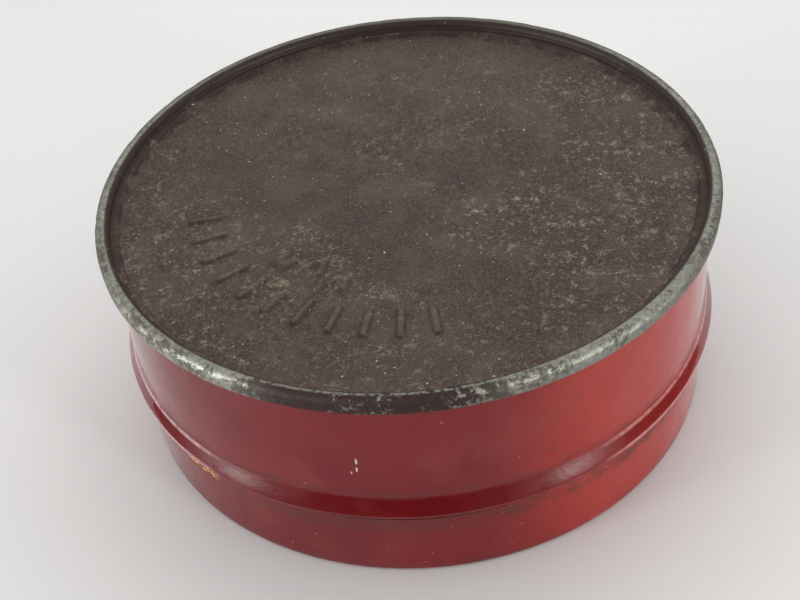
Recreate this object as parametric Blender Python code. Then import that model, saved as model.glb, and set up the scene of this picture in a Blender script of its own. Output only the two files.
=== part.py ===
"""Shoe polish tin: a soldered three-piece can with a slip lid, lying base up on its lid.

Units are metres, +Z is up. The origin is on the tin's axis, on the lid's outer face, which
stands on z = 0. Each tinplate piece is described by the middle line of its sheet.
"""

import math

import bmesh
import bpy
from mathutils import Matrix, Vector

# Driving dimensions
SEAM_RADIUS = 0.0410       # outside of the double seam, the widest point of the tin
HEIGHT = 0.0324            # lid face to the top of the seam
PLATE = 0.0003             # tinplate thickness
FILM = 0.0001              # film between two plies of the seam
SEAM_LENGTH = 0.0024       # height of the double seam
SHOULDER = 0.00028         # chamfer on the seam's upper corners
HOOK_DROP = 0.0007         # top of the seam down to the fold of the body hook
BODY_HOOK_LENGTH = 0.0011  # length of the hook turned down from the body's edge
HOOK_GAP = 0.0004          # end hook's tip below the fold of the body hook
COUNTERSINK = 0.0020       # seam top down to the base panel
PANEL_RADIUS = 0.0384      # foot of the wall round the base panel
WALL_BEND = 0.0013         # seam top down to the bend in that wall
BEAD_RADIUS = 0.04086      # crest of the body bead
BEAD_LOW = 0.0103          # where the bead's underside leaves the neck
CREST_LOW = 0.0117         # lower and upper ends of the bead's narrow crest
CREST_HIGH = 0.0122
CREST_EASE = 0.0001        # how far the crest is eased back above its upper end
BEAD_TOP = 0.0144          # where the bead's conical flank runs out into the wall
LID_RADIUS = 0.0396        # outside of the lid's skirt
LID_EDGE = 0.0099          # top of the lid's skirt, just under the bead
LID_CORNER = 0.0006        # bend between the lid's face and its skirt
LID_PANEL_RADIUS = 0.0325  # recessed middle of the lid's face
LID_RECESS = 0.0005        # depth of that recess
SLIP = 0.0001              # radial clearance between lid and neck
MOUTH = 0.0008             # lowest point of the can's mouth
HEM = 0.0005               # half the width of the fold at that mouth
CAKE_SURFACE = 0.0100      # free surface of the polish, facing the lid
CAKE_DISH = 0.0008         # how far that surface is dished in the middle
CAKE_DISH_RADIUS = 0.0233  # edge of the dish's flatter middle
CAKE_DISH_LEFT = 0.0006    # depth still left at that edge
CAKE_RADIUS = 0.0389
CAKE_BEND = 0.0006         # height of the slope under the cake's widest part
DISC_RADIUS = 0.0370
DISC_THICKNESS = 0.0002
SOLDER = 0.00016           # thickness of the solder inside the side seam
CLEAR = 0.0003             # gap left between a filling and the plate around it
TOUCH = 0.00008            # gap left between two sheets that lie on each other

SEGMENTS = 64              # facets round the axis, shared by every turned piece
SEAM_PITCH = PLATE + FILM
TOP_PLY = HEIGHT - PLATE / 2
PANEL = HEIGHT - COUNTERSINK - PLATE / 2
HOOK_TOP = TOP_PLY - HOOK_DROP
NECK = LID_RADIUS - PLATE - SLIP - PLATE / 2


def ply(number):
    """Radius of the middle of a ply of the double seam, counted inwards from 0."""
    return SEAM_RADIUS - PLATE / 2 - number * SEAM_PITCH


SEAMING_WALL, BODY_HOOK, END_HOOK, BODY_WALL, CHUCK_WALL = (ply(n) for n in range(5))


def clear_scene():
    for obj in list(bpy.data.objects):
        bpy.data.objects.remove(obj, do_unlink=True)


def make_material(name, colour, roughness, metallic):
    material = bpy.data.materials.new(name)
    material.use_nodes = True
    shader = material.node_tree.nodes["Principled BSDF"]
    shader.inputs["Base Color"].default_value = (*colour, 1.0)
    shader.inputs["Roughness"].default_value = roughness
    shader.inputs["Metallic"].default_value = metallic
    return material


def sheet(path, thickness=PLATE):
    """Closed outline of a sheet whose middle line is path, mitred at its bends."""
    points = [Vector(p) for p in path]
    runs = [(b - a).normalized() for a, b in zip(points, points[1:])]
    normals = [Vector((-run.y, run.x)) for run in runs]
    one_side, other_side = [], []
    for index, point in enumerate(points):
        before = normals[max(index - 1, 0)]
        after = normals[min(index, len(normals) - 1)]
        mitre = (before + after) * (thickness / 2 / (1 + before.dot(after)))
        one_side.append(point + mitre)
        other_side.append(point - mitre)
    return one_side + other_side[::-1]


def turned_mesh(name, outline, steps=SEGMENTS, angle=math.tau, start=0.0):
    """Solid turned about Z from an outline of (radius, z) points, closed or ending on the axis."""
    mesh = bmesh.new()
    ring = [mesh.verts.new((radius, 0.0, z)) for radius, z in outline]
    bmesh.ops.rotate(mesh, verts=ring, cent=(0, 0, 0), matrix=Matrix.Rotation(start, 3, "Z"))
    profile = [mesh.edges.new(pair) for pair in zip(ring, ring[1:])]
    if outline[0][0] > 0:
        profile.append(mesh.edges.new((ring[-1], ring[0])))
    bmesh.ops.spin(mesh, geom=ring + profile, cent=(0, 0, 0), axis=(0, 0, 1), steps=steps,
                   angle=angle, use_merge=math.isclose(angle, math.tau))
    bmesh.ops.remove_doubles(mesh, verts=mesh.verts, dist=1e-7)
    bmesh.ops.holes_fill(mesh, edges=mesh.edges)
    bmesh.ops.recalc_face_normals(mesh, faces=mesh.faces)
    data = bpy.data.meshes.new(name)
    mesh.to_mesh(data)
    mesh.free()
    return data


def add_part(data, material, parent):
    data.materials.append(material)
    data.shade_smooth()
    data.set_sharp_from_angle(angle=math.radians(30))
    obj = bpy.data.objects.new(data.name, data)
    bpy.context.scene.collection.objects.link(obj)
    obj.parent = parent
    return obj


def add_body(name, parent=None):
    """Empty on the tin's axis that carries the pieces which move together."""
    body = bpy.data.objects.new(name, None)
    bpy.context.scene.collection.objects.link(body)
    body.parent = parent
    return body


def lid():
    """Drawn cup: recessed face panel, flat rim that it lies on, and the slip skirt."""
    face = PLATE / 2
    skirt = LID_RADIUS - PLATE / 2
    bend = LID_CORNER
    corner = [(skirt - bend + bend * math.sin(a), face + bend - bend * math.cos(a))
              for a in (0, math.pi / 4, math.pi / 2)]
    path = [(0, face + LID_RECESS), (LID_PANEL_RADIUS, face + LID_RECESS),
            (LID_PANEL_RADIUS + 2 * LID_RECESS, face), *corner, (skirt, LID_EDGE)]
    return turned_mesh("lid", sheet(path))


def body_ring():
    """Rolled strip: hemmed mouth, neck inside the lid, bead, wall, and the hook in the seam."""
    bead = BEAD_RADIUS - PLATE / 2
    path = [(NECK - 2 * HEM, MOUTH + 3 * HEM), (NECK - 2 * HEM, MOUTH + HEM),
            (NECK - HEM, MOUTH + PLATE / 2), (NECK, MOUTH + HEM), (NECK, BEAD_LOW),
            (bead, CREST_LOW), (bead, CREST_HIGH), (bead - CREST_EASE, CREST_HIGH + 3 * CREST_EASE),
            (BODY_WALL, BEAD_TOP), (BODY_WALL, HOOK_TOP), (BODY_HOOK, HOOK_TOP),
            (BODY_HOOK, HOOK_TOP - BODY_HOOK_LENGTH)]
    return turned_mesh("body_ring", sheet(path))


def base_end():
    """Pressed end: sunk panel, chuck wall and the hook rolled under the body's."""
    seam_foot = HEIGHT - SEAM_LENGTH + PLATE / 2
    foot = PANEL_RADIUS + PLATE / 2
    path = [(0, PANEL), (foot, PANEL), (foot + PLATE / 2, HEIGHT - WALL_BEND),
            (CHUCK_WALL, TOP_PLY - 2 * SHOULDER),
            (CHUCK_WALL + SHOULDER, TOP_PLY), (SEAMING_WALL - SHOULDER, TOP_PLY),
            (SEAMING_WALL, TOP_PLY - SHOULDER), (SEAMING_WALL, seam_foot),
            (END_HOOK, seam_foot), (END_HOOK, HOOK_TOP - HOOK_GAP)]
    return turned_mesh("base_end", sheet(path))


def seam_compound():
    """Lining compound squeezed between the end's shoulder and the top of the body hook."""
    inner = CHUCK_WALL + PLATE / 2 + SHOULDER
    outer = SEAMING_WALL - PLATE / 2 - SHOULDER
    top = TOP_PLY - PLATE / 2 - FILM
    bottom = HOOK_TOP + PLATE / 2 + FILM
    return turned_mesh("seam_compound", [(inner, bottom), (outer, bottom), (outer, top), (inner, top)])


def side_seam_solder():
    """Run of solder along the lapped ends of the body strip, inside the wall at the back."""
    outer = BODY_WALL - PLATE / 2 - TOUCH
    inner = outer - SOLDER
    bottom = BEAD_TOP + CLEAR
    top = PANEL - PLATE
    facet = math.tau / SEGMENTS
    outline = [(inner, bottom), (outer, bottom), (outer, top), (inner, top)]
    return turned_mesh("side_seam_solder", outline, steps=1, angle=facet, start=math.pi / 2 - facet)


def polish_cake():
    """Wax polish held in the can by its wall, its dished surface facing the lid."""
    neck_side = NECK - PLATE / 2 - CLEAR
    top = PANEL - PLATE / 2 - CLEAR
    outline = [(0, CAKE_SURFACE + CAKE_DISH), (CAKE_DISH_RADIUS, CAKE_SURFACE + CAKE_DISH_LEFT),
               (neck_side, CAKE_SURFACE), (neck_side, BEAD_TOP - CAKE_BEND),
               (CAKE_RADIUS, BEAD_TOP), (CAKE_RADIUS, top), (0, top)]
    return turned_mesh("polish_cake", outline)


def cover_disc():
    """Waxed paper disc that lies on the lid's recessed panel and covers the polish in use."""
    bottom = PLATE + LID_RECESS + TOUCH
    top = bottom + DISC_THICKNESS
    outline = [(0, bottom), (DISC_RADIUS, bottom), (DISC_RADIUS, top), (0, top)]
    return turned_mesh("cover_disc", outline)


def main():
    clear_scene()
    lacquer = make_material("red_lacquer", (0.36, 0.045, 0.045), 0.35, 0.2)
    tarnish = make_material("tarnished_tinplate", (0.09, 0.07, 0.06), 0.55, 0.6)
    compound = make_material("lining_compound", (0.25, 0.22, 0.18), 0.7, 0.0)
    solder = make_material("solder", (0.42, 0.42, 0.40), 0.45, 0.9)
    wax = make_material("polish_wax", (0.030, 0.018, 0.012), 0.30, 0.0)
    paper = make_material("waxed_paper", (0.62, 0.55, 0.42), 0.55, 0.0)

    lid_body = add_body("lid_body")
    disc_body = add_body("disc_body", lid_body)
    can_body = add_body("can_body", disc_body)
    add_part(lid(), lacquer, lid_body)
    add_part(cover_disc(), paper, disc_body)
    add_part(body_ring(), lacquer, can_body)
    add_part(base_end(), tarnish, can_body)
    add_part(seam_compound(), compound, can_body)
    add_part(side_seam_solder(), solder, can_body)
    add_part(polish_cake(), wax, can_body)


main()
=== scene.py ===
import math

import bpy
import numpy as np
from mathutils import Matrix, Vector


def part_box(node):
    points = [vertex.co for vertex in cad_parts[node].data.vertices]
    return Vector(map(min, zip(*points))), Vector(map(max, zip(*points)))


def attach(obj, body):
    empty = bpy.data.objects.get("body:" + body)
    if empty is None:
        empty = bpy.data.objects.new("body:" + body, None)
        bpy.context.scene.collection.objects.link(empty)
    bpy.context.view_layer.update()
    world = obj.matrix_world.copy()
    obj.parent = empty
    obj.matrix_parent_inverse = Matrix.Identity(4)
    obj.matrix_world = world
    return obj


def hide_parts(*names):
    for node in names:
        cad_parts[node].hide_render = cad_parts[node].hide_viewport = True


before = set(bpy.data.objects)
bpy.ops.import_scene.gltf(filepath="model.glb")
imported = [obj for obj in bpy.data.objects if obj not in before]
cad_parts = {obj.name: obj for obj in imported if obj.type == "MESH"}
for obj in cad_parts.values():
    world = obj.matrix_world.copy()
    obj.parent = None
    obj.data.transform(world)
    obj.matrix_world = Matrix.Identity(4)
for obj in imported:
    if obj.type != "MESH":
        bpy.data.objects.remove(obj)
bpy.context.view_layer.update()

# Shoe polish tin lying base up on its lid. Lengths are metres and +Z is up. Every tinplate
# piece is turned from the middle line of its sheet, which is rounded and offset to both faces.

# Sizes that the frame gives
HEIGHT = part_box("base_end")[1][2]
SEAM_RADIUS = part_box("base_end")[1][0]
BEAD_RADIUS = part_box("body_ring")[1][0]
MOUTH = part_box("body_ring")[0][2]
LID_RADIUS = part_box("lid")[1][0]
LID_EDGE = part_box("lid")[1][2]
DISC_LOW, DISC_HIGH = (corner[2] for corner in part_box("cover_disc"))
DISC_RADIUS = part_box("cover_disc")[1][0]
CAKE_LOW, CAKE_HIGH = (corner[2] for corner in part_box("polish_cake"))
CAKE_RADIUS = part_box("polish_cake")[1][0]

# Sheet and seam
PLATE = 0.0003              # tinplate thickness
SEAM_PITCH = 0.0004         # ply to ply inside the double seam
SEAM_LENGTH = 0.0024        # height of the double seam
SEAM_ROUND = 0.00076        # radius of the bends over the top of the seam
TIGHT = 0.00018             # radius of a sharp fold
HOOK_DROP = 0.0007          # seam top down to the fold of the body hook
BODY_HOOK_LENGTH = 0.0011
HOOK_GAP = 0.0004
TOP_PLY = HEIGHT - PLATE / 2
HOOK_TOP = TOP_PLY - HOOK_DROP
SEAMING_WALL, BODY_HOOK, END_HOOK, BODY_WALL, CHUCK_WALL = (
    SEAM_RADIUS - PLATE / 2 - ply * SEAM_PITCH for ply in range(5))

# Base panel
COUNTERSINK = 0.0020                  # seam top down to the sunk panel
SHELF_DROP = 0.0014                   # seam top down to the narrow shelf round it
PANEL = HEIGHT - COUNTERSINK - PLATE / 2
SHELF = HEIGHT - SHELF_DROP - PLATE / 2
STEP_RADIUS = 0.0380                  # where the panel steps up to the shelf
EMBOSS_HEIGHT = 0.00038
BAR_COUNT = 11
BAR_START, BAR_END = 185.0, 274.0     # degrees round the panel, first and last bar
BAR_INNER, BAR_OUTER = 0.0246, 0.0284
BAR_HALF_WIDTH = 0.00042
BAR_SOFT = 0.00040                    # how far a stroke's side runs out
# x and y of the middles of the three small rings
RINGS = ((-0.0157, -0.0125), (-0.0123, -0.0148), (-0.0096, -0.0183))
RING_RADIUS = 0.0011

# Body and lid
BEAD_LOW = 0.0103           # where the bead's underside leaves the neck
CREST = 0.0120              # corner of the bead, before it is rounded
CREST_BEND = 0.00045        # its radius, in the middle of the sheet
BEAD_TOP = 0.0144           # where its conical flank runs out into the wall
CREST_OVER = 0.00012        # how far that corner lies outside the rounded crest
SLIP = 0.0001               # clearance between the lid and the neck
EDGE_OVER = 0.0003          # how far the skirt's worn edge runs on above the frame's
HEM = 0.0005                # half the width of the fold at the can's mouth
NECK = LID_RADIUS - PLATE - SLIP - PLATE / 2
LID_CORNER = 0.0007
LID_PANEL_RADIUS = 0.0325
LID_RECESS = 0.0005
SIDE_SEAM = 90.0            # degrees, the lapped side seam at the back
MARGIN = 3.2                # degrees, the bare margin on each side of it

# Paper, tent and lamps
SHEET_REACH = 0.074         # radius of the paper that shows in reflections
PAPER_REACH = 1.6           # radius of the whole paper
PAPER_CORNERS = 48
TENT_COLOUR = (1.0, 0.985, 0.98, 1.0)
TENT_GLOW = 0.90            # strength of the tent all round
TENT_DIM = 0.02             # and low down on the camera's side
TENT_SIDES = 0.5            # more of it to the left and right
TENT_HORIZON = 0.01         # the share of it that is left at the horizon
TENT_SEEN = 0.78            # strength where the camera looks straight at it
# where the lamps on each side stand, and what they aim at
LEFT, RIGHT = (-0.83, -0.34, 0.060), (0.63, -0.63, 0.085)
TIN_MIDDLE = (0, 0, 0.015)

# Camera
CAMERA_PLACE = (0, -0.14288, 0.13792)
CAMERA_AIM = (-0.00269, 0.01188, 0)
CAMERA_ROLL = -6.90         # degrees
CAMERA_LENS = 60.5          # mm, on a sensor 36 mm wide

# Pitch of the columns round a turned piece
FINE = math.radians(0.4)
COARSE = math.radians(1.25)
SEAM_ZONE = (86, 94)        # degrees round the tin that need fine columns
EMBOSSED_ZONE = (185, 277)


# ---------------------------------------------------------------- outlines

def fillet(corners, step=math.radians(16)):
    """Path through (radius, z, bend) corners, each rounded to the bend's radius."""
    path = []
    for index, (across, up, bend) in enumerate(corners):
        here = np.array((across, up))
        if not bend or index in (0, len(corners) - 1):
            path.append(here)
            continue
        back = np.array(corners[index - 1][:2]) - here
        ahead = np.array(corners[index + 1][:2]) - here
        back, ahead = back / np.linalg.norm(back), ahead / np.linalg.norm(ahead)
        half = math.acos(float(np.clip(back @ ahead, -1, 1))) / 2
        middle = (back + ahead) / np.linalg.norm(back + ahead)
        centre = here + middle * bend / math.sin(half)
        first = here + back * bend / math.tan(half) - centre
        last = here + ahead * bend / math.tan(half) - centre
        start = math.atan2(first[1], first[0])
        sweep = (math.atan2(last[1], last[0]) - start + math.pi) % math.tau - math.pi
        count = max(2, math.ceil(abs(sweep) / step))
        path += [centre + bend * np.array((math.cos(start + sweep * k / count),
                                           math.sin(start + sweep * k / count)))
                 for k in range(count + 1)]
    return path


def divide(path, longest):
    """The path with its long runs cut into steps no longer than longest."""
    result = [path[0]]
    for start, end in zip(path, path[1:]):
        count = max(1, math.ceil(np.linalg.norm(end - start) / longest - 1e-6))
        result += [start + (end - start) * k / count for k in range(1, count + 1)]
    return result


def faces_of(path, thickness=PLATE):
    """The two faces of a sheet whose middle line is path: its left side, then its right."""
    path = np.array(path)
    runs = np.diff(path, axis=0)
    runs /= np.linalg.norm(runs, axis=1)[:, None]
    normals = np.stack((-runs[:, 1], runs[:, 0]), axis=1)
    before = np.vstack((normals[:1], normals))
    after = np.vstack((normals, normals[-1:]))
    mitre = (before + after) * (thickness / 2 / (1 + (before * after).sum(axis=1)))[:, None]
    return path + mitre, path - mitre


def angles_with(*fine_zones):
    """Column angles all round, at the fine pitch inside each zone of degrees."""
    angle, result = 0.0, []
    while angle < math.tau - 0.6 * FINE:
        result.append(angle)
        degrees = math.degrees(angle) + 0.2     # the middle of a fine column
        angle += FINE if any(low <= degrees < high for low, high in fine_zones) else COARSE
    return np.array(result)


# ---------------------------------------------------------------- meshes

def turned(name, left, right, angles, shape, materials):
    """Closed piece turned about Z from a sheet's two faces, which meet on the axis or in edges.

    shape(radius, angle, z, is_left) returns the bent (radius, z). The left face takes the
    first material, and the right face and the edges take the last."""
    outline = np.vstack((left, right[::-1]))
    is_left = np.arange(len(outline)) < len(left)
    radius, angle = np.meshgrid(outline[:, 0], angles, indexing="ij")
    z = np.repeat(outline[:, 1][:, None], len(angles), axis=1)
    radius, z = shape(radius, angle, z, is_left[:, None])
    points = np.stack((radius * np.cos(angle), radius * np.sin(angle), z), axis=2)

    on_axis = outline[:, 0] < 1e-9
    columns = len(angles)
    numbers = np.arange(len(outline) * columns).reshape(len(outline), columns)
    points[on_axis] = points[on_axis].mean(axis=1, keepdims=True)
    numbers[on_axis] = numbers[on_axis][:, :1]
    closed = not on_axis[0]
    rows = len(outline) if closed else len(outline) - 1
    faces, slots = [], []
    for row in range(rows):
        low, high = numbers[row], numbers[(row + 1) % len(outline)]
        ring = np.stack((low, np.roll(low, -1), np.roll(high, -1), high), axis=1)
        if on_axis[row]:
            ring = ring[:, [0, 2, 3]]
        elif on_axis[(row + 1) % len(outline)]:
            ring = ring[:, [0, 1, 2]]
        faces += ring.tolist()
        slots += [0 if row < len(left) - 1 else 1] * columns

    used = np.unique(numbers)
    renumber = np.zeros(numbers.size, dtype=int)
    renumber[used] = np.arange(len(used))
    mesh = bpy.data.meshes.new(name)
    mesh.from_pydata(points.reshape(-1, 3)[used].tolist(), [],
                     [[int(renumber[v]) for v in face] for face in faces])
    for material in materials:
        mesh.materials.append(material)
    mesh.polygons.foreach_set("material_index", np.minimum(slots, len(materials) - 1))
    mesh.update()
    if signed_volume(mesh) < 0:
        mesh.flip_normals()
    mesh.shade_smooth()
    mesh.set_sharp_from_angle(angle=math.radians(35))
    piece = bpy.data.objects.new(name, mesh)
    bpy.context.scene.collection.objects.link(piece)
    return piece


def places_of(mesh):
    places = np.empty(len(mesh.vertices) * 3)
    mesh.vertices.foreach_get("co", places)
    return places.reshape(-1, 3)


def signed_volume(mesh):
    """Six times the mesh's volume, below zero where its faces point inwards."""
    places = places_of(mesh)
    mesh.calc_loop_triangles()
    corners = np.empty(len(mesh.loop_triangles) * 3, dtype=np.int32)
    mesh.loop_triangles.foreach_get("vertices", corners)
    a, b, c = (places[corners.reshape(-1, 3)[:, k]] for k in range(3))
    return (a * np.cross(b, c)).sum()


def smooth_step(value, low, high):
    share = np.clip((value - low) / (high - low), 0, 1)
    return share * share * (3 - 2 * share)


def wave(angle, seed, orders=(3, 5, 8, 13)):
    """Smooth wave round the tin, from 0 to 1, made of a few harmonics."""
    draw = np.random.default_rng(seed)
    total = sum(np.sin(order * angle + draw.uniform(0, math.tau)) / math.sqrt(order)
                for order in orders)
    return 0.5 + 0.5 * total / sum(1 / math.sqrt(order) for order in orders)


def nicks(angle, seed, count, width, depth):
    """Small dents at random places round the tin, in metres."""
    draw = np.random.default_rng(seed)
    total = np.zeros_like(angle)
    for _ in range(count):
        away = (angle - draw.uniform(0, math.tau) + math.pi) % math.tau - math.pi
        deep = depth * draw.uniform(0.3, 1)
        total += deep * np.exp(-(away / (width * draw.uniform(0.5, 1.6))) ** 2)
    return total


# ---------------------------------------------------------------- the pieces' shapes

def emboss(x, y):
    """Height of the raised row of bars and the small rings on the base panel."""
    def stroke(away):
        """1 on a stroke's middle line and 0 beyond its soft side."""
        return 1 - smooth_step(away, BAR_HALF_WIDTH - BAR_SOFT / 2, BAR_HALF_WIDTH + BAR_SOFT)

    height = np.zeros_like(x)
    for bar in range(BAR_COUNT):
        turn = math.radians(BAR_START + (BAR_END - BAR_START) * bar / (BAR_COUNT - 1))
        along = x * math.cos(turn) + y * math.sin(turn)
        aside = -x * math.sin(turn) + y * math.cos(turn)
        away = np.hypot(aside, along - np.clip(along, BAR_INNER, BAR_OUTER))
        height = np.maximum(height, stroke(away))
    for across, up in RINGS:
        away = np.abs(np.hypot(x - across, y - up) - RING_RADIUS)
        height = np.maximum(height, stroke(away))
    return EMBOSS_HEIGHT * height


def mark_relief(mesh):
    """Stores how far the embossing is raised, from 0 to 1, for the material to read."""
    places = places_of(mesh)
    relief = mesh.attributes.new("relief", "FLOAT", "POINT")
    relief.data.foreach_set("value", emboss(places[:, 0], places[:, 1]) / EMBOSS_HEIGHT)


def shape_base(radius, angle, z, is_left):
    x, y = radius * np.cos(angle), radius * np.sin(angle)
    inside = 1 - smooth_step(radius, 0.034, 0.0375)
    sway = np.sin(140 * x + 1.1) * np.cos(110 * y - 0.4) + 0.6 * np.sin(230 * y + 90 * x)
    sway = 0.00007 * sway
    z = z + inside * sway + np.where(is_left, inside * emboss(x, y), 0)
    at_seam = smooth_step(radius, 0.0385, 0.0395)
    in_dent = 0.00005 * wave(angle, 4, (2, 3, 7, 12, 19)) + nicks(angle, 5, 26, 0.012, 0.00009)
    radius = radius - at_seam * in_dent * np.where(radius > 0.0402, 1.0, 0.35)
    z = z - at_seam * smooth_step(z, HEIGHT - 0.0012, HEIGHT) * (
        0.00004 * wave(angle, 6, (2, 5, 9, 17)) + nicks(angle, 7, 22, 0.016, 0.00009))
    return radius, z


def lap(angle, width=math.radians(2.1), edge=math.radians(0.35)):
    """1 on the lapped ends of the body strip, fading to 0 over edge beyond them."""
    away = np.abs((angle - math.radians(SIDE_SEAM) + math.pi) % math.tau - math.pi)
    return 1 - smooth_step(away, width, width + edge)


def shape_body(radius, angle, z, is_left):
    on_wall = smooth_step(z, 0.0103, 0.0112) * (1 - smooth_step(z, 0.0285, 0.0298))
    sway = 0.00006 * wave(angle, 11) + 0.00004 * wave(angle + 60 * z, 12, (4, 7, 11))
    plain = smooth_step(z, BEAD_TOP - 0.001, BEAD_TOP + 0.0008)
    lift = 0.00009 * lap(angle) * (0.4 + 0.6 * plain) * np.where(is_left, 0, 1)
    return radius - on_wall * (sway - 0.8 * lift * plain), z


def shape_lid(radius, angle, z, is_left):
    on_skirt = smooth_step(z, 0.0012, 0.0030) * smooth_step(radius, 0.038, 0.039)
    near_edge = smooth_step(z, LID_EDGE - 0.0016, LID_EDGE)
    sway = 0.00004 * wave(angle, 21) + near_edge * (0.00003 * wave(angle, 22, (5, 9, 16)))
    dents = 0.00005 * wave(angle, 23, (3, 8, 15)) + nicks(angle, 24, 12, 0.015, 0.00010)
    drop = near_edge * dents
    return radius - on_skirt * sway * np.where(is_left, 0.5, 1), z - on_skirt * drop


def lid_faces():
    face, skirt = PLATE / 2, LID_RADIUS - PLATE / 2
    corners = [(0, face + LID_RECESS, 0), (LID_PANEL_RADIUS, face + LID_RECESS, 0.0008),
               (LID_PANEL_RADIUS + 2 * LID_RECESS, face, 0.0008), (skirt, face, LID_CORNER),
               (skirt, LID_EDGE + EDGE_OVER, 0)]
    return faces_of(divide(fillet(corners), 0.0012))


def body_faces():
    bead = BEAD_RADIUS - PLATE / 2
    fold = MOUTH + PLATE / 2
    corners = [(NECK - 2 * HEM, fold + 3 * HEM, 0), (NECK - 2 * HEM, fold, 0.45 * HEM),
               (NECK, fold, 0.45 * HEM), (NECK, BEAD_LOW, 0.0004),
               (bead + CREST_OVER, CREST, CREST_BEND), (BODY_WALL, BEAD_TOP, 0.0008),
               (BODY_WALL, HOOK_TOP, TIGHT), (BODY_HOOK, HOOK_TOP, TIGHT),
               (BODY_HOOK, HOOK_TOP - BODY_HOOK_LENGTH, 0)]
    return faces_of(divide(fillet(corners, math.radians(10)), 0.0008))


def base_faces():
    """The base's outer face in fine steps, and its inner face in coarse ones."""
    seam_foot = HEIGHT - SEAM_LENGTH + PLATE / 2
    rim = fillet([(STEP_RADIUS - 0.0006, PANEL, 0), (STEP_RADIUS, PANEL, 0.0004),
                  (STEP_RADIUS + 0.0004, SHELF, 0.0004), (CHUCK_WALL, SHELF, 0.0004),
                  (CHUCK_WALL, TOP_PLY, SEAM_ROUND), (SEAMING_WALL, TOP_PLY, SEAM_ROUND),
                  (SEAMING_WALL, seam_foot, 0.0003), (END_HOOK, seam_foot, 0.0003),
                  (END_HOOK, HOOK_TOP - HOOK_GAP, 0)])
    fine = [np.array((radius, PANEL)) for radius in
            (*np.arange(0, 0.0225, 0.0015), *np.arange(0.0225, 0.0312, 0.0002),
             *np.arange(0.0318, STEP_RADIUS - 0.0008, 0.0008))]
    coarse = [np.array((radius, PANEL)) for radius in np.arange(0, STEP_RADIUS - 0.0008, 0.003)]
    rim = divide(rim, 0.0005)
    return faces_of(fine + rim)[0], faces_of(coarse + rim)[1]


def shape_cake(radius, angle, z, is_left):
    """The free face of the polish, dished and marked by the turns of a brush."""
    free = 1 - smooth_step(z, CAKE_LOW + 0.0012, CAKE_LOW + 0.003)
    rub = np.sin(radius * 2600 + 2.2 * np.sin(angle + 0.6) + 0.8 * np.sin(3 * angle))
    rubbed = smooth_step(radius, 0.003, 0.009) * (1 - smooth_step(radius, 0.033, 0.0365))
    mark = 0.00009 * rub * rubbed
    scoop = 0.0011 * np.exp(-((radius * np.cos(angle) - 0.009) ** 2
                              + (radius * np.sin(angle) + 0.006) ** 2) / 0.00012)
    return radius, z + free * (0.0001 + mark + scoop)


def cake_faces():
    dish = [(radius, CAKE_LOW + 0.0008 * (1 - (radius / 0.038) ** 2) + 0.0001)
            for radius in np.arange(0, 0.0380, 0.0006)]
    side = NECK - PLATE / 2 - 0.0004
    rim = fillet([(0.0380, CAKE_LOW + 0.0001, 0), (side, CAKE_LOW + 0.0001, 0.0003),
                  (side, BEAD_TOP - 0.0006, 0.0004), (CAKE_RADIUS - 0.0001, BEAD_TOP, 0.0004),
                  (CAKE_RADIUS - 0.0001, CAKE_HIGH, 0.0004), (0.0370, CAKE_HIGH, 0)])
    outline = np.array(dish + [tuple(p) for p in rim])
    return outline, np.array([(0, CAKE_HIGH), (0.02, CAKE_HIGH)])


def shape_disc(radius, angle, z, is_left):
    inner = 1 - smooth_step(radius, 0.028, 0.0365)
    cockle = 0.5 + 0.5 * np.sin(150 * radius * np.cos(angle) + 1.7 * np.sin(4 * angle))
    return radius, z + inner * 0.00030 * cockle * smooth_step(radius, 0, 0.006)


def disc_faces():
    steps = np.append(np.arange(0, DISC_RADIUS, 0.0012), DISC_RADIUS)
    return (np.array([(radius, DISC_LOW) for radius in steps]),
            np.array([(radius, DISC_HIGH) for radius in steps]))


# ---------------------------------------------------------------- material graphs

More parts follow.
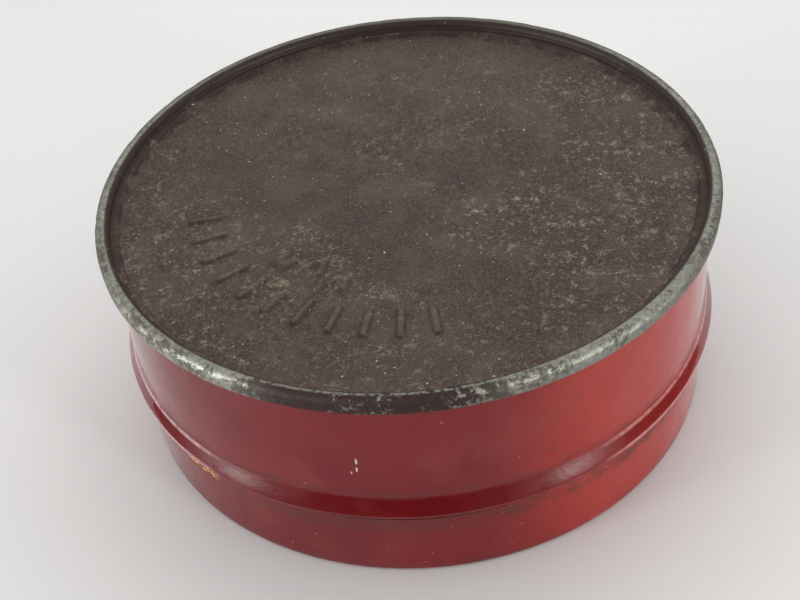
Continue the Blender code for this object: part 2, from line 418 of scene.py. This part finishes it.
class Graph:
    """One material's nodes. Coordinates are the tin's own, in millimetres."""

    def __init__(self, name, **constants):
        self.material = bpy.data.materials.new(name)
        self.material.use_nodes = True
        self.tree = self.material.node_tree
        self.shader = self.tree.nodes["Principled BSDF"]
        for socket, value in constants.items():
            self.shader.inputs[socket.replace("_", " ")].default_value = value
        metres = self.node("TexCoord").outputs["Object"]
        scaled = self.node("VectorMath", {0: metres, 1: (1000, 1000, 1000)}, operation="MULTIPLY")
        self.place = scaled.outputs[0]
        parts = self.node("SeparateXYZ", {0: self.place}).outputs
        self.x, self.y, self.z = parts[0], parts[1], parts[2]
        self.radius = self.length(self.x, self.y)
        self.turn = self.math("MULTIPLY", self.math("ARCTAN2", self.y, self.x), 180 / math.pi)
        self.bumped = None

    def node(self, kind, inputs=None, **settings):
        made = self.tree.nodes.new("ShaderNode" + kind)
        for key, value in settings.items():
            setattr(made, key, value)
        for key, value in (inputs or {}).items():
            self.put(made.inputs[key], value)
        return made

    def put(self, socket, value):
        if isinstance(value, bpy.types.NodeSocket):
            self.tree.links.new(value, socket)
        else:
            socket.default_value = value

    def math(self, operation, first, second=0.0, third=0.0):
        return self.node("Math", {0: first, 1: second, 2: third}, operation=operation).outputs[0]

    def times(self, *values):
        result = values[0]
        for value in values[1:]:
            result = self.math("MULTIPLY", result, value)
        return result

    def most(self, *values):
        result = values[0]
        for value in values[1:]:
            result = self.math("MAXIMUM", result, value)
        return result

    def less(self, value):
        return self.math("SUBTRACT", 1.0, value)

    def length(self, first, second):
        squares = self.math("MULTIPLY", first, first), self.math("MULTIPLY", second, second)
        return self.math("SQRT", self.math("ADD", *squares))

    def span(self, value, low, high, to_low=0.0, to_high=1.0):
        """Smooth change from to_low to to_high as the value goes from low to high."""
        made = self.node("MapRange", {0: value, 1: low, 2: high, 3: to_low, 4: to_high},
                         interpolation_type="SMOOTHSTEP")
        return made.outputs[0]

    def band(self, value, low, high, soft):
        """1 between low and high, fading to 0 over soft beyond them."""
        rise = self.span(value, low - soft, low)
        return self.times(rise, self.span(value, high, high + soft, 1.0, 0.0))

    def moved(self, shift, stretch=(1, 1, 1)):
        """The place, stretched and then shifted along each axis alike."""
        inputs = {0: self.place, 1: (shift, shift, shift), 3: stretch}
        return self.node("Mapping", inputs).outputs[0]

    def noise(self, scale, detail=3.0, roughness=0.5, stretch=(1, 1, 1), shift=0.0, distortion=0.0):
        """Noise from 0 to 1 whose features are about 1 / scale millimetres."""
        place = self.moved(shift, stretch)
        inputs = {"Vector": place, "Scale": scale, "Detail": detail, "Roughness": roughness}
        return self.node("TexNoise", {**inputs, "Distortion": distortion}).outputs[0]

    def specks(self, pitch, share, size, soft=0.5, shift=0.0):
        """Small round specks: one in about share of the cells that are pitch millimetres across."""
        cells = self.node("TexVoronoi", {"Vector": self.moved(shift), "Scale": 1 / pitch})
        draw = self.node("SeparateColor", {0: cells.outputs["Color"]}).outputs
        chosen = self.math("LESS_THAN", draw[0], share)
        reach = self.math("MULTIPLY", self.span(draw[1], 0, 1, 0.45, 1.0), size / pitch)
        near = self.math("DIVIDE", cells.outputs["Distance"], reach)
        return self.times(chosen, self.span(near, 1 - soft, 1, 1.0, 0.0))

    def mix(self, share, first, second):
        inputs = {0: share, 6: colour(first), 7: colour(second)}
        return self.node("Mix", inputs, data_type="RGBA").outputs[2]

    def blend(self, share, first, second):
        return self.node("Mix", {0: share, 2: first, 3: second}, data_type="FLOAT").outputs[0]

    def bump(self, height, depth, strength=1.0):
        """Adds relief: height from 0 to 1 stands for depth metres."""
        inputs = {"Height": height, "Distance": depth, "Strength": strength}
        if self.bumped:
            inputs["Normal"] = self.bumped
        self.bumped = self.node("Bump", inputs).outputs[0]

    def finish(self, **inputs):
        for socket, value in inputs.items():
            self.put(self.shader.inputs[socket.replace("_", " ")], value)
        if self.bumped:
            self.put(self.shader.inputs["Normal"], self.bumped)
        return self.material


def colour(value):
    """A socket as it is, or linear red, green and blue with alpha added."""
    return value if isinstance(value, bpy.types.NodeSocket) else (*value, 1.0)


def tarnished_base():
    """Dark oxidised tinplate, with khaki clusters, and worn bare metal on the seam; with painted
    shade in the panel's corner, along the embossing and on the back of the seam.
    """
    g = Graph("tarnished_tinplate", IOR=1.5, Specular_IOR_Level=0.2)
    patch = g.span(g.noise(0.045, 2, 0.5, shift=3), 0.35, 0.65)
    brown = g.mix(patch, (0.042, 0.020, 0.019), (0.052, 0.030, 0.025))
    cloud = g.noise(0.16, 5, 0.62, shift=11)
    brown = g.mix(g.span(cloud, 0.40, 0.75), brown, (0.078, 0.054, 0.040))
    grain = g.noise(3.2, 5, 0.8)
    brown = g.mix(g.span(grain, 0.42, 0.68, 0.0, 0.75), brown, (0.120, 0.092, 0.070))
    # khaki clusters, denser to the front, the right and the left edge
    region = g.span(g.noise(0.055, 2, 0.5, shift=29), 0.40, 0.56)
    front = g.span(g.y, 24, -14)
    side = g.most(g.span(g.x, -24, -33), g.times(g.span(g.x, 14, 26), g.span(g.y, 30, 18)))
    right = g.span(g.x, -16, 6, 0.72, 1)
    edge = g.times(g.span(g.y, -14, -27), 0.6)
    region = g.most(g.times(region, g.span(front, 0, 1, 0.45, 1)), g.times(side, 0.85), edge)
    region = g.times(region, right)
    fleck = g.noise(0.85, 9, 0.80, stretch=(1, 0.8, 1), shift=5, distortion=0.3)
    khaki = g.times(g.span(fleck, 0.53, 0.64), region)
    olive = g.span(g.noise(0.42, 9, 0.80, shift=47), 0.56, 0.64)
    olive = g.times(olive, g.span(region, 0, 1, 0.1, 1), 0.7)
    crumbs = g.span(g.noise(1.5, 6, 0.75, shift=83), 0.58, 0.66)
    crumbs = g.times(crumbs, g.span(region, 0, 1, 0.25, 0.9))
    pale = g.most(khaki, olive, crumbs)
    tint = g.span(g.noise(0.25, 3, 0.5, shift=52), 0.4, 0.6)
    tint = g.mix(tint, (0.225, 0.195, 0.130), (0.330, 0.295, 0.210))
    skin = g.mix(g.times(pale, 0.85), brown, tint)
    # the embossing: painted shade with some dirt along its edges, and a painted highlight with some
    # rubbing wear on its tops
    relief = g.node("Attribute", attribute_name="relief").outputs["Fac"]
    skin = g.mix(g.span(relief, 0.6, 1.0, 0, 0.3), skin, (0.130, 0.105, 0.080))
    rubbed = g.span(g.noise(0.9, 4, 0.6, shift=92), 0.35, 0.6, 0.5, 2.2)
    skin = g.mix(g.times(relief, g.less(relief), rubbed), skin, (0.024, 0.014, 0.013))
    # pinpoint bright specks of bare tin
    spark = g.most(g.times(g.specks(0.62, 0.30, 0.11), 0.55),
                   g.times(g.specks(1.1, 0.30, 0.15, shift=9), 0.8),
                   g.specks(2.9, 0.32, 0.22, shift=4))
    skin = g.mix(spark, skin, (0.55, 0.53, 0.49))
    # painted shade in the corner round the sunk panel, ragged, darker at the back and sides than at
    # the front
    ragged = g.times(g.math("SUBTRACT", g.noise(0.30, 6, 0.7, shift=63), 0.5), 7.0)
    ragged = g.math("SUBTRACT", g.math("ADD", g.radius, ragged), g.band(g.turn, -150, -50, 25))
    painted_corner_shade = g.span(ragged, 37.4, 38.5, 0.0, 0.85)
    skin = g.mix(g.times(painted_corner_shade, g.less(g.times(spark, 0.6))), skin, (0.026, 0.016, 0.014))

    # the seam: worn to grey metal on its ridge and outside, with brown tarnish left in patches
    ridge = g.span(g.radius, 39.50, 39.80)
    apex = g.times(g.band(g.radius, 39.70, 40.05, 0.15), g.span(g.z, 31.6, 31.9))
    foot = g.span(g.z, 30.9, 30.3)
    front_gap = g.band(g.turn, -112, -86, 14)
    wear = g.noise(1.15, 6, 0.72, shift=71)
    broad = g.math("SUBTRACT", g.noise(0.17, 4, 0.55, shift=77), 0.5)
    level = g.blend(front_gap, g.span(g.y, 20, 36, 0.46, 0.52), 0.64)
    level = g.math("SUBTRACT", level, g.math("ADD", g.times(broad, 0.5), g.times(foot, 0.06)))
    bare = g.times(ridge, g.span(g.math("SUBTRACT", wear, level), -0.06, 0.06))
    bare = g.most(bare, g.times(apex, g.span(g.noise(1.6, 4, 0.6, shift=90), 0.40, 0.52), 0.8))
    metal = g.span(g.noise(2.2, 5, 0.75, shift=15), 0.3, 0.7)
    metal = g.mix(metal, (0.175, 0.177, 0.148), (0.335, 0.341, 0.292))
    # bare metal darker towards the back: painted shade
    metal = g.mix(g.span(g.y, 12, 36, 0, 0.85), metal, (0.110, 0.112, 0.088))
    dark = g.mix(g.noise(0.8, 5, 0.6, shift=55), (0.018, 0.007, 0.006), (0.044, 0.026, 0.021))
    dull = g.mix(g.noise(1.9, 5, 0.7, shift=59), (0.050, 0.042, 0.034), (0.150, 0.140, 0.115))
    dark = g.mix(front_gap, dull, dark)
    skin = g.mix(ridge, skin, dark)
    skin = g.mix(g.times(bare, 0.9), skin, metal)
    worn = g.span(g.noise(0.9, 4, 0.6, shift=98), 0.35, 0.65, 0.42, 0.56)
    rough = g.blend(bare, g.span(grain, 0.3, 0.7, 0.62, 0.48), worn)
    g.bump(g.noise(3.2, 4, 0.7, shift=2), 0.00005, 0.5)
    g.bump(g.noise(0.7, 5, 0.65, shift=8), 0.00008, 0.35)
    g.bump(bare, 0.00003, 0.6)
    g.bump(g.times(ridge, g.noise(1.3, 5, 0.75, shift=95)), 0.00022, 0.7)
    return g.finish(Base_Color=skin, Roughness=rough, Metallic=g.span(bare, 0, 1, 0.15, 0.9))


def red_lacquer():
    """Transparent red lacquer on tinplate, faded and grubby with age, with painted light, shade and
    highlight lines on the wall and bead.
    """
    g = Graph("red_lacquer", IOR=1.5, Specular_IOR_Level=0.1, Coat_Roughness=0.06, Coat_IOR=1.5)
    patch = g.span(g.noise(0.05, 3, 0.5, shift=4), 0.35, 0.65)
    red = g.mix(patch, (0.128, 0.005, 0.008), (0.168, 0.008, 0.010))
    # darker red on the front: painted shade; the same band thins the coat further down
    worn = g.band(g.turn, -130, -50, 30)
    red = g.mix(g.times(worn, 0.22), red, (0.050, 0.002, 0.004))
    # brighter orange-red on the front right: painted light
    painted_light_right = g.band(g.turn, -60, -30, 25)
    red = g.mix(g.times(painted_light_right, 0.75), red, (0.370, 0.026, 0.016))
    mottle = g.span(g.noise(0.5, 6, 0.7, shift=19), 0.45, 0.8, 0, 0.45)
    red = g.mix(mottle, red, (0.110, 0.012, 0.013))
    grit = g.span(g.noise(3.5, 4, 0.8, shift=61), 0.45, 0.75, 0, 0.35)
    red = g.mix(grit, red, (0.075, 0.010, 0.012))
    # darker red on the bead's conical flank: painted shade
    painted_flank_shade = g.band(g.z, 12.2, 14.0, 0.5)
    red = g.mix(g.times(painted_flank_shade, 0.6), red, (0.085, 0.002, 0.003))
    haze = g.times(g.span(g.noise(0.11, 5, 0.6, shift=44), 0.45, 0.70), 0.10)
    red = g.mix(haze, red, (0.300, 0.075, 0.070))
    # grime with painted shade under the seam, in the bead's root and under the bead along the lid's
    # edge; grime low on the skirt and in patches all over
    blotch_noise = g.noise(0.40, 7, 0.7, stretch=(1, 1, 1.8), shift=33)
    under = g.band(g.z, 8.4, 9.9, 1.4)
    bead_root_grime_and_shade = g.band(g.z, 14.5, 15.2, 0.5)
    rim = g.span(g.z, 28.7, 29.9)
    low = g.span(g.z, 2.2, 0.2)
    soft = g.span(blotch_noise, 0.36, 0.66)
    grime_and_painted_shade = g.most(g.times(under, soft, 0.75), g.times(low, soft, 0.6), g.times(bead_root_grime_and_shade, soft, 0.55),
                   g.times(rim, g.span(blotch_noise, 0.30, 0.55), 0.9),
                   g.times(g.span(blotch_noise, 0.58, 0.78), 0.35))
    red = g.mix(grime_and_painted_shade, red, (0.070, 0.024, 0.019))
    # painted highlight lines, pale pink to red, along the bead's root and crest on both sides of
    # the front
    painted_highlight_lines = g.most(g.band(g.z, 13.9, 14.1, 0.22), g.band(g.z, 12.0, 12.3, 0.18))
    beside = g.times(g.less(g.band(g.turn, -130, -62, 8)), g.span(g.y, 16, -2))
    painted_highlight_lines = g.times(painted_highlight_lines, beside, g.span(g.noise(0.9, 5, 0.7, shift=66), 0.3, 0.6, 0.3, 0.8))
    pale = g.mix(g.span(g.turn, -120, -70), (0.50, 0.34, 0.37), (0.50, 0.21, 0.21))
    red = g.mix(painted_highlight_lines, red, pale)
    # dark pits, pale dust and small chips down to the tin
    pits = g.most(g.specks(1.6, 0.12, 0.24, shift=3), g.specks(4.2, 0.18, 0.45, shift=13))
    red = g.mix(g.times(pits, 0.75), red, (0.040, 0.010, 0.010))
    dust = g.most(g.specks(1.7, 0.20, 0.17, shift=21),
                  g.times(g.specks(0.9, 0.3, 0.14, shift=35), g.span(g.z, 12, 9)))
    red = g.mix(g.times(dust, 0.6), red, (0.42, 0.24, 0.21))
    rub = g.span(g.noise(1.5, 5, 0.7, stretch=(1, 1, 2.0), shift=6), 0.48, 0.53)
    on_lid = g.span(g.radius, 39.30, 39.42)
    scratch = g.times(g.band(g.turn, -149, -136, 2), g.band(g.z, 8.6, 9.9, 0.4), rub, on_lid)
    nick = g.times(g.span(g.noise(1.0, 4, 0.6, shift=58), 0.72, 0.75), g.band(g.z, 12.0, 12.6, 0.5))
    chip = g.most(mark_at(g, -103.3, 20.8, 0.62), mark_at(g, -103.4, 19.4, 0.50),
                  mark_at(g, -104.4, 18.8, 0.36), nick)
    red = g.mix(chip, red, (0.66, 0.62, 0.58))
    red = g.mix(scratch, red, (0.86, 0.44, 0.12))
    # bare margin and solder along the side seam
    margin = g.band(g.turn, SIDE_SEAM - MARGIN, SIDE_SEAM + MARGIN, 0.25)
    margin = g.times(margin, g.span(g.z, 10.2, 10.3))
    drawn = g.noise(0.6, 6, 0.7, stretch=(1, 1, 0.3), shift=39)
    red = g.mix(margin, red, g.mix(drawn, (0.20, 0.18, 0.15), (0.48, 0.46, 0.42)))
    smear = g.noise(0.22, 5, 0.6, stretch=(1, 1, 0.5), shift=50)
    rough = g.math("ADD", g.span(smear, 0.3, 0.7, 0.26, 0.38), g.times(grime_and_painted_shade, 0.2))
    g.bump(g.noise(1.4, 3, 0.5, shift=1), 0.00003, 0.5)
    g.bump(g.noise(5.0, 2, 0.5, shift=26), 0.000015, 0.6)
    g.bump(g.noise(0.25, 3, 0.5, shift=7), 0.00010, 0.3)
    g.bump(g.less(g.most(chip, scratch)), 0.00005, 0.8)
    coat = g.times(g.blend(worn, 0.95, 0.45), g.less(g.times(grime_and_painted_shade, 0.5)))
    metal = g.times(g.most(chip, scratch, margin), 0.8)
    return g.finish(Base_Color=red, Roughness=rough, Metallic=metal, Coat_Weight=coat)


def mark_at(g, turn, z, size):
    """A ragged spot of about that size in millimetres, at degrees round the wall and a height."""
    wall = 39.8             # its radius in millimetres
    aside = g.times(g.math("SUBTRACT", g.turn, turn), wall * math.pi / 180)
    up = g.math("SUBTRACT", g.z, z)
    away = g.math("SQRT", g.math("ADD", g.times(aside, aside, 14), g.times(up, up)))
    ragged = g.math("ADD", away, g.times(g.noise(1.6, 5, 0.75), 0.7))
    return g.span(ragged, size + 0.10, size + 0.34, 1.0, 0.0)


def plain_tin():
    """Inside of the tinplate: dull grey, with drawing marks and a little rust."""
    g = Graph("inner_tinplate", IOR=1.5)
    base = g.mix(g.noise(0.4, 6, 0.65, shift=8), (0.30, 0.29, 0.26), (0.50, 0.49, 0.45))
    streak = g.noise(0.9, 4, 0.6, stretch=(1, 1, 0.15), shift=14)
    base = g.mix(g.span(streak, 0.5, 0.75, 0, 0.5), base, (0.22, 0.20, 0.17))
    rust = g.times(g.span(g.noise(0.25, 7, 0.7, shift=27), 0.56, 0.68), 0.7)
    base = g.mix(rust, base, (0.16, 0.075, 0.035))
    rough = g.blend(rust, g.span(streak, 0.3, 0.7, 0.28, 0.42), 0.75)
    g.bump(g.noise(2.2, 4, 0.6), 0.00003, 0.5)
    return g.finish(Base_Color=base, Roughness=rough, Metallic=g.less(rust))


def polish_wax():
    """Dark brown wax: soft sheen, drying cracks and paler dry edges."""
    g = Graph("polish_wax", IOR=1.45, Subsurface_Weight=0.05,
              Subsurface_Radius=(0.001, 0.0006, 0.0004))
    body = g.mix(g.noise(0.3, 5, 0.6, shift=5), (0.020, 0.011, 0.007), (0.052, 0.030, 0.018))
    dry = g.times(g.span(g.radius, 31, 37), g.span(g.noise(0.5, 6, 0.7, shift=12), 0.42, 0.62))
    body = g.mix(g.times(dry, 0.6), body, (0.12, 0.085, 0.060))
    cells = g.node("TexVoronoi", {"Vector": g.place, "Scale": 0.22}, feature="DISTANCE_TO_EDGE")
    crack = g.span(cells.outputs["Distance"], 0.0, 0.035, 1.0, 0.0)
    crack = g.times(crack, g.span(g.radius, 22, 34))
    body = g.mix(crack, body, (0.008, 0.005, 0.004))
    g.bump(g.less(crack), 0.0003, 0.8)
    g.bump(g.noise(1.1, 5, 0.6), 0.00012, 0.5)
    sheen = g.span(g.noise(0.4, 4, 0.6, shift=3), 0.3, 0.7, 0.24, 0.42)
    return g.finish(Base_Color=body, Roughness=g.blend(dry, sheen, 0.6))


def waxed_paper():
    """Yellowed paper with fibres, wax smears and a polish stain."""
    g = Graph("waxed_paper", IOR=1.45, Sheen_Weight=0.1)
    base = g.mix(g.noise(0.2, 5, 0.6, shift=7), (0.50, 0.42, 0.28), (0.64, 0.57, 0.42))
    fibre = g.noise(3.0, 4, 0.7, stretch=(1, 0.25, 1), shift=9)
    base = g.mix(g.span(fibre, 0.45, 0.75, 0, 0.35), base, (0.38, 0.30, 0.19))
    stain = g.math("ADD", g.noise(0.12, 6, 0.65, shift=31), g.span(g.radius, 18, 36, 0, 0.12))
    stain = g.span(stain, 0.54, 0.68)
    base = g.mix(g.times(stain, 0.85), base, (0.085, 0.045, 0.026))
    g.bump(fibre, 0.00003, 0.6)
    g.bump(g.noise(0.35, 4, 0.5, shift=17), 0.0002, 0.4)
    rough = g.blend(stain, g.span(fibre, 0.3, 0.7, 0.42, 0.6), 0.28)
    return g.finish(Base_Color=base, Roughness=rough)


def solder_metal():
    """Grey solder, run on in one pass: rippled along its length."""
    g = Graph("solder", IOR=1.5, Metallic=1.0)
    base = g.mix(g.noise(0.9, 5, 0.6, shift=4), (0.34, 0.34, 0.33), (0.56, 0.56, 0.54))
    ripple = g.noise(0.8, 3, 0.5, stretch=(0.4, 0.4, 2.2), shift=2)
    base = g.mix(g.span(ripple, 0.55, 0.7, 0, 0.5), base, (0.20, 0.20, 0.19))
    g.bump(ripple, 0.00008, 0.7)
    return g.finish(Base_Color=base, Roughness=g.span(ripple, 0.3, 0.7, 0.30, 0.55))


def lining_compound():
    """Rubbery seam compound, grey-brown and slightly blistered."""
    g = Graph("lining_compound", IOR=1.5)
    base = g.mix(g.noise(0.8, 5, 0.6, shift=6), (0.16, 0.135, 0.10), (0.30, 0.26, 0.20))
    blister = g.specks(0.6, 0.5, 0.2, soft=0.9)
    base = g.mix(g.times(blister, 0.5), base, (0.36, 0.32, 0.26))
    g.bump(blister, 0.00006, 0.7)
    return g.finish(Base_Color=base, Roughness=g.span(g.noise(1.5, 3, 0.5), 0.3, 0.7, 0.62, 0.85))


def floor_paper():
    """Pale seamless paper with a very faint tooth."""
    g = Graph("studio_paper", IOR=1.5, Specular_IOR_Level=0.2)
    base = g.mix(g.noise(0.012, 3, 0.5), (0.755, 0.762, 0.755), (0.795, 0.802, 0.795))
    return g.finish(Base_Color=base, Roughness=g.span(g.noise(0.8, 4, 0.6), 0.3, 0.7, 0.75, 0.9))


# ---------------------------------------------------------------- assembly

def add_pieces():
    tarnish, lacquer, tin = tarnished_base(), red_lacquer(), plain_tin()
    even = angles_with()

    lid = turned("lid_shell", *lid_faces(), even, shape_lid, (tin, lacquer))
    body = turned("body_wall", *body_faces(), angles_with(SEAM_ZONE), shape_body, (tin, lacquer))
    base = turned("base_plate", *base_faces(), angles_with(EMBOSSED_ZONE, SEAM_ZONE), shape_base,
                  (tarnish, tin))
    mark_relief(base.data)
    cake = turned("polish", *cake_faces(), even, shape_cake, (polish_wax(),))
    disc = turned("paper_disc", *disc_faces(), even, shape_disc, (waxed_paper(),))

    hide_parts("lid")
    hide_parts("body_ring")
    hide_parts("base_end")
    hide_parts("polish_cake")
    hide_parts("cover_disc")
    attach(lid, "lid_body")
    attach(disc, "disc_body")
    for piece in (body, base, cake):
        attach(piece, "can_body")

    kept = {"seam_compound": lining_compound(), "side_seam_solder": solder_metal()}
    for name, material in kept.items():
        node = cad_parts[name]
        for holder in node.material_slots:
            holder.material = material
        if not node.material_slots:
            node.data.materials.append(material)


def add_floor():
    """The paper under the tin, and the paper beyond it, which the tin's gloss does not mirror."""
    count = PAPER_CORNERS
    turns = [math.tau * k / count for k in range(count)]
    inner, outer = ([(math.cos(turn) * reach, math.sin(turn) * reach, 0) for turn in turns]
                    for reach in (SHEET_REACH, PAPER_REACH))
    ring = [(k, (k + 1) % count, count + (k + 1) % count, count + k) for k in range(count)]
    sheets = {"floor": (inner, [range(count)]), "far_floor": (outer + inner, ring)}
    paper = floor_paper()
    for name, (points, faces) in sheets.items():
        mesh = bpy.data.meshes.new(name)
        mesh.from_pydata(points, [], faces)
        mesh.materials.append(paper)
        floor = bpy.data.objects.new(name, mesh)
        floor.visible_glossy = name == "floor"
        bpy.context.scene.collection.objects.link(floor)


def add_lamp(name, place, aim, size, power, glint=False):
    """Soft rectangular lamp that faces its aim; a glint shows in gloss only."""
    light = bpy.data.lights.new(name, "AREA")
    light.shape = "RECTANGLE"
    light.size, light.size_y = size
    light.energy = power
    lamp = bpy.data.objects.new(name, light)
    lamp.location = place
    lamp.visible_diffuse = not glint
    lamp.rotation_euler = (Vector(aim) - Vector(place)).to_track_quat("-Z", "Y").to_euler()
    bpy.context.scene.collection.objects.link(lamp)


def add_world():
    """A pale tent: bright above and behind, dimmer on the camera's side, dark at the horizon."""
    world = bpy.data.worlds.new("tent")
    bpy.context.scene.world = world
    world.use_nodes = True
    nodes, links = world.node_tree.nodes, world.node_tree.links
    sky = nodes["Background"]

    def put(socket, value):
        if isinstance(value, bpy.types.NodeSocket):
            links.new(value, socket)
        else:
            socket.default_value = value

    def math_node(operation, *values):
        made = nodes.new("ShaderNodeMath")
        made.operation = operation
        for socket, value in zip(made.inputs, values):
            put(socket, value)
        return made.outputs[0]

    def ramp(value, low, high, to_low=0.0, to_high=1.0, kind="SMOOTHSTEP"):
        made = nodes.new("ShaderNodeMapRange")
        made.interpolation_type = kind
        for socket, number in zip(made.inputs, (value, low, high, to_low, to_high)):
            put(socket, number)
        return made.outputs[0]

    facing = nodes.new("ShaderNodeSeparateXYZ")
    put(facing.inputs[0], nodes.new("ShaderNodeTexCoord").outputs["Generated"])
    across, along, up = facing.outputs
    dim = math_node("MULTIPLY", ramp(along, -0.20, -0.70), ramp(up, 0.95, 0.45))
    glow = ramp(dim, 0.0, 1.0, TENT_GLOW, TENT_DIM, kind="LINEAR")
    sides = ramp(math_node("ABSOLUTE", across), 0.55, 0.95, 0.0, TENT_SIDES)
    horizon = ramp(up, 0.06, 0.24, TENT_HORIZON)
    lit = math_node("MULTIPLY", math_node("ADD", glow, sides), horizon)
    shown = nodes.new("ShaderNodeMix")
    straight = nodes.new("ShaderNodeLightPath").outputs["Is Camera Ray"]
    for number, value in {0: straight, 2: lit, 3: TENT_SEEN}.items():
        put(shown.inputs[number], value)
    put(sky.inputs["Strength"], shown.outputs[0])
    put(sky.inputs["Color"], TENT_COLOUR)


def add_camera():
    camera = bpy.data.objects.new("camera", bpy.data.cameras.new("camera"))
    place, aim = Vector(CAMERA_PLACE), Vector(CAMERA_AIM)
    roll = Matrix.Rotation(math.radians(CAMERA_ROLL), 3, "Z")
    turn = (aim - place).to_track_quat("-Z", "Y").to_matrix() @ roll
    camera.matrix_world = Matrix.Translation(place) @ turn.to_4x4()
    camera.data.lens = CAMERA_LENS
    camera.data.sensor_width = 36
    camera.data.clip_start = 0.01
    bpy.context.scene.collection.objects.link(camera)
    bpy.context.scene.camera = camera


add_pieces()
add_floor()
add_world()
add_lamp("left_panel", LEFT, TIN_MIDDLE, (0.15, 0.10), 6.0)
add_lamp("left_glint", LEFT, TIN_MIDDLE, (0.12, 0.09), 6.0, glint=True)
add_lamp("right_panel", RIGHT, TIN_MIDDLE, (0.15, 0.11), 4.6)
add_lamp("right_glint", RIGHT, TIN_MIDDLE, (0.12, 0.09), 3.2, glint=True)
add_lamp("top_panel", (0.10, 0.55, 0.75), (0, 0, 0), (0.9, 0.7), 2.0)
add_camera()
bpy.context.scene.view_settings.view_transform = "Standard"
